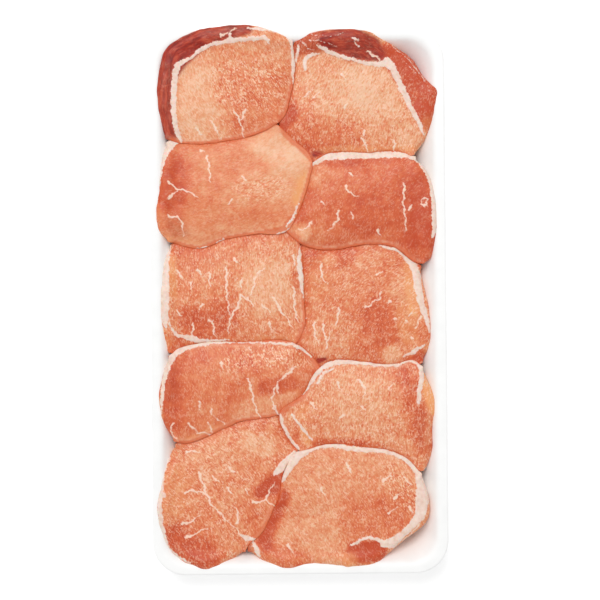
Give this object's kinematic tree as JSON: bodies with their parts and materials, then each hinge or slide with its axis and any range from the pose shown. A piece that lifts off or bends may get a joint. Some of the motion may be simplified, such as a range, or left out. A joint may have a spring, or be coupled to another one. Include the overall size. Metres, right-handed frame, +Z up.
{
  "type": "meat tray pack",
  "caption": "Family pack of boneless pork loin chops, lying overlapped like tiles in two columns in a shallow white foam tray with a flat rim and sloping walls",
  "frame": {"origin": "middle of the tray's foot, on the surface it stands on", "axes": "+Z up, +Y along the tray's length away from the reader, +X across the tray"},
  "size_m": [0.2032, 0.3748, 0.031],
  "materials": {
    "foam": "white expanded polystyrene foam, smooth skin with a faint bead pattern",
    "meat": "raw pork loin, moist, pale salmon lean with cream fat cap, seams and marbling"
  },
  "bodies": {
    "root": {"tray": "foam", "chop_left_1": "meat", "chop_left_2": "meat", "chop_left_3": "meat", "chop_left_4": "meat", "chop_left_5": "meat", "chop_right_1": "meat", "chop_right_2": "meat", "chop_right_3": "meat", "chop_right_4": "meat", "chop_right_5": "meat"}
  },
  "joints": []
}
